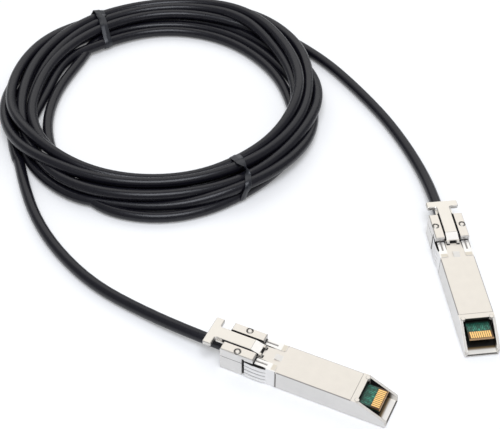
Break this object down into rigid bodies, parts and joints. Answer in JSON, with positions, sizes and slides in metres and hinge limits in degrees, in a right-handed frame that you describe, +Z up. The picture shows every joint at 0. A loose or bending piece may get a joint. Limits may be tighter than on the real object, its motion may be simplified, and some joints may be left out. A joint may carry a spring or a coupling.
{
  "type": "direct attach copper cable",
  "caption": "Coiled twinax cable with a pluggable metal connector on each end, each with a T-shaped slide latch, a spring-finger collar and an edge card.",
  "frame": {"origin": "the shoulder of plug A's latch boss, on the plug's centreline, at the level of the label side on which the plug lies", "axes": "+X from the cable towards plug A's nose, +Z up from the label side to the latch side, +Y to the left of a plug that points along +X"},
  "size_m": [0.2485, 0.1945, 0.0108],
  "materials": {
    "nickel_shell": "satin nickel plate on die-cast zinc",
    "rivet_steel": "bright",
    "latch_steel": "satin nickel plate",
    "spring_steel": "drawn wire",
    "collar_steel": "stamped spring sheet",
    "circuit_card": "green solder mask",
    "gold_contact": "hard gold plate",
    "chip_body": "moulded epoxy",
    "capacitor_body": "fired ceramic",
    "potting": "cured resin",
    "wire_insulation": "extruded",
    "ferrule_metal": "tinned",
    "cable_jacket": "soft satin jacket",
    "tie_strap": "flat coated strap"
  },
  "bodies": {
    "cable_assembly": {"plug_a_base_housing": "nickel_shell", "plug_a_cover_plate": "nickel_shell", "plug_a_rear_cap": "nickel_shell", "plug_a_rivets": "rivet_steel", "plug_a_latch_spring": "spring_steel", "plug_a_emi_collar": "collar_steel", "plug_a_paddle_card": "circuit_card", "plug_a_contact_pads": "gold_contact", "plug_a_memory_chip": "chip_body", "plug_a_coupling_capacitors": "capacitor_body", "plug_a_wire_potting": "potting", "plug_a_twinax_pairs": "wire_insulation", "plug_a_crimp_ferrule": "ferrule_metal", "plug_b_base_housing": "nickel_shell", "plug_b_cover_plate": "nickel_shell", "plug_b_rear_cap": "nickel_shell", "plug_b_rivets": "rivet_steel", "plug_b_latch_spring": "spring_steel", "plug_b_emi_collar": "collar_steel", "plug_b_paddle_card": "circuit_card", "plug_b_contact_pads": "gold_contact", "plug_b_memory_chip": "chip_body", "plug_b_coupling_capacitors": "capacitor_body", "plug_b_wire_potting": "potting", "plug_b_twinax_pairs": "wire_insulation", "plug_b_crimp_ferrule": "ferrule_metal", "cable_tail_a": "cable_jacket", "cable_coil": "cable_jacket", "cable_tail_b": "cable_jacket", "tie_1": "tie_strap", "tie_2": "tie_strap"},
    "latch_a": {"plug_a_latch_slide": "latch_steel"},
    "latch_b": {"plug_b_latch_slide": "latch_steel"}
  },
  "joints": [
    {"name": "latch_a_slide", "type": "slide", "parent": "cable_assembly", "child": "latch_a", "axis": [1, 0, 0], "range_m": [0, 0.0025], "stiffness_N_per_m": 400, "springref_m": -0.001, "deforming": ["plug_a_latch_spring"]},
    {"name": "latch_b_slide", "type": "slide", "parent": "cable_assembly", "child": "latch_b", "axis": [0.5284, -0.849, 0], "range_m": [0, 0.0025], "stiffness_N_per_m": 400, "springref_m": -0.001, "deforming": ["plug_b_latch_spring"]}
  ]
}
